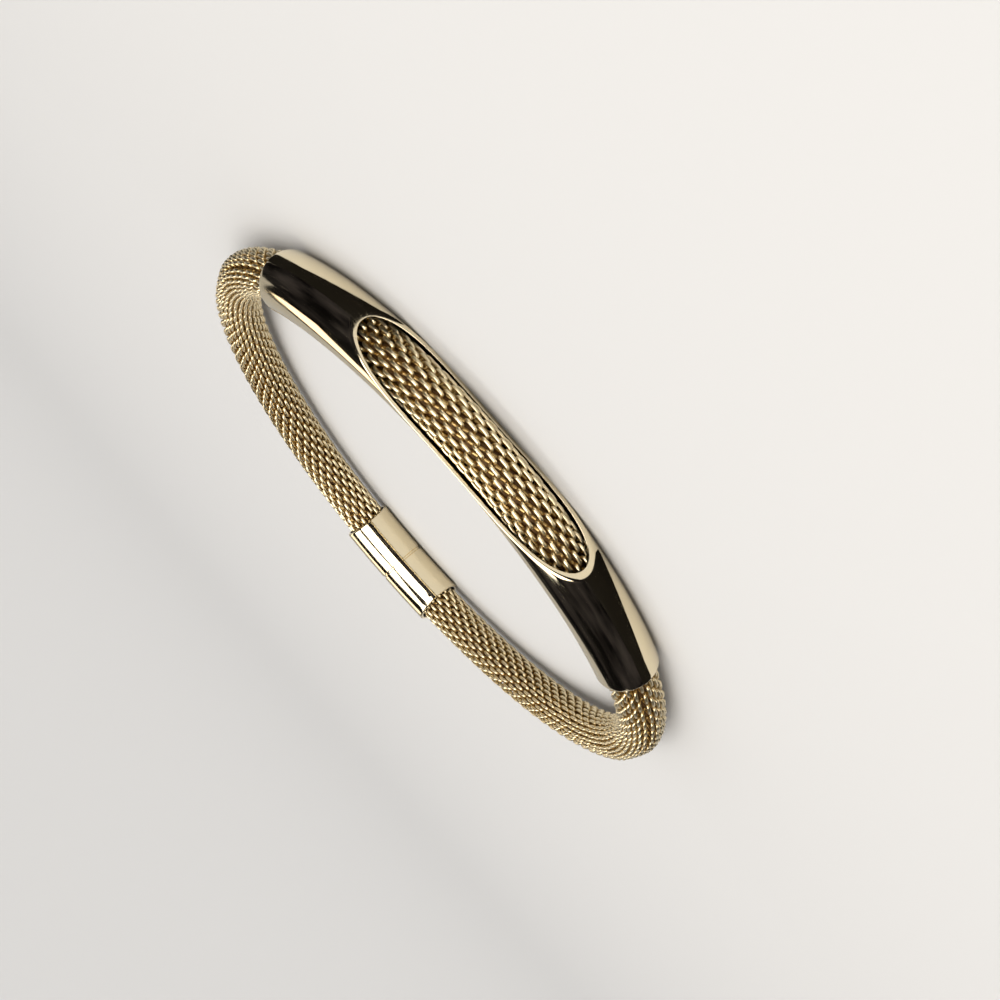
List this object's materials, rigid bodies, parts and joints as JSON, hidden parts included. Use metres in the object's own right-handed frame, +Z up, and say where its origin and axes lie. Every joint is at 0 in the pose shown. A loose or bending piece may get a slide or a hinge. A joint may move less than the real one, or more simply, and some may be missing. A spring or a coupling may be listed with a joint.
{
  "type": "mesh bracelet",
  "caption": "Mesh bracelet: a round woven metal rope that runs through a polished, curved tube with a long oval window, closed by a plain barrel clasp.",
  "frame": {"origin": "on the surface that the bracelet lies on, under the middle of its outline", "axes": "+Z is up, through the loop; -Y points to the bar's window, +Y to the clasp, and +X to the right seen from the bar"},
  "size_m": [0.0668, 0.0674, 0.006],
  "materials": {
    "polished_gold": "gold plated, mirror polish",
    "woven_gold": "gold plated wire mesh, darkened in its gaps"
  },
  "bodies": {
    "root": {"bar": "polished_gold", "mesh_rope": "woven_gold", "clasp": "polished_gold"}
  },
  "joints": []
}
